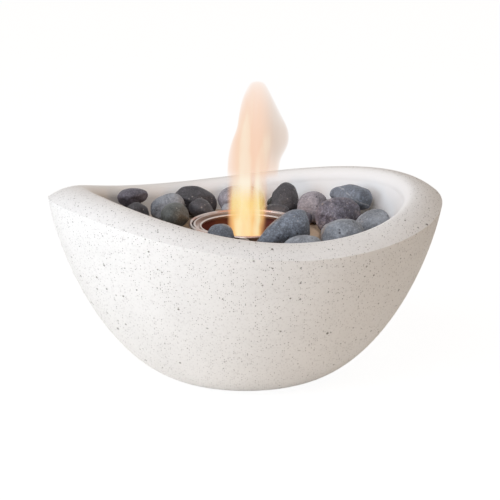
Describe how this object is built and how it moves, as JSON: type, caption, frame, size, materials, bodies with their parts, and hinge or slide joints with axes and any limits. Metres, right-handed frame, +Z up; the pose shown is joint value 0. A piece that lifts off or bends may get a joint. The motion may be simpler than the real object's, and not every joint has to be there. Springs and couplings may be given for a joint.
{
  "type": "tabletop fire bowl",
  "caption": "Oval cast fire bowl with a waved rim, filled with pebbles round a steel cup that holds an open can of gel fuel.",
  "frame": {"origin": "middle of the footprint, on the plane of the four feet", "axes": "+X along the bowl's long axis, +Z up, -Y towards the viewer"},
  "size_m": [0.2755, 0.2369, 0.1442],
  "materials": {
    "cast_bowl": "matt speckled cast stone",
    "cast_deck": "matt cast stone",
    "cup_steel": "satin",
    "can_tin": "tinned, slightly heat tinted",
    "gel": "clear gel",
    "pebble_stone": "smooth river stone",
    "foot_rubber": "matt"
  },
  "bodies": {
    "bowl": {"bowl_shell": "cast_bowl", "burner_deck": "cast_deck", "foot_pad_1": "foot_rubber", "foot_pad_2": "foot_rubber", "foot_pad_3": "foot_rubber", "foot_pad_4": "foot_rubber", "pebble_back_edge": "pebble_stone", "pebble_back_grey": "pebble_stone", "pebble_back_low": "pebble_stone", "pebble_back_near": "pebble_stone", "pebble_back_pale": "pebble_stone", "pebble_back_plum": "pebble_stone", "pebble_back_slate": "pebble_stone", "pebble_back_speckled": "pebble_stone", "pebble_back_teardrop": "pebble_stone", "pebble_back_upright": "pebble_stone", "pebble_back_wall": "pebble_stone", "pebble_corner_near": "pebble_stone", "pebble_corner_outer": "pebble_stone", "pebble_corner_wide": "pebble_stone", "pebble_front_dome": "pebble_stone", "pebble_front_edge": "pebble_stone", "pebble_front_flat": "pebble_stone", "pebble_front_middle": "pebble_stone", "pebble_front_outer": "pebble_stone", "pebble_front_right": "pebble_stone", "pebble_front_slate": "pebble_stone", "pebble_front_small": "pebble_stone", "pebble_left_dark": "pebble_stone", "pebble_left_end": "pebble_stone", "pebble_left_green": "pebble_stone", "pebble_left_middle": "pebble_stone", "pebble_left_near": "pebble_stone", "pebble_left_outer": "pebble_stone", "pebble_left_pale": "pebble_stone", "pebble_left_plum": "pebble_stone", "pebble_near_plum": "pebble_stone", "pebble_right_edge": "pebble_stone", "pebble_right_near": "pebble_stone", "pebble_right_wall": "pebble_stone", "pebble_side_green": "pebble_stone", "pebble_side_plum": "pebble_stone", "pebble_side_slate": "pebble_stone", "pebble_under_left": "pebble_stone", "pebble_under_right": "pebble_stone"},
    "cup": {"holder_cup": "cup_steel"},
    "can": {"can_body": "can_tin", "can_bottom": "can_tin", "can_mouth": "can_tin", "gel_fuel": "gel"}
  },
  "joints": [
    {"name": "cup_lift", "type": "slide", "parent": "bowl", "child": "cup", "axis": [0, 0, 1], "range_m": [0, 0.105]},
    {"name": "can_lift", "type": "slide", "parent": "cup", "child": "can", "axis": [0, 0, 1], "range_m": [0, 0.1]}
  ]
}
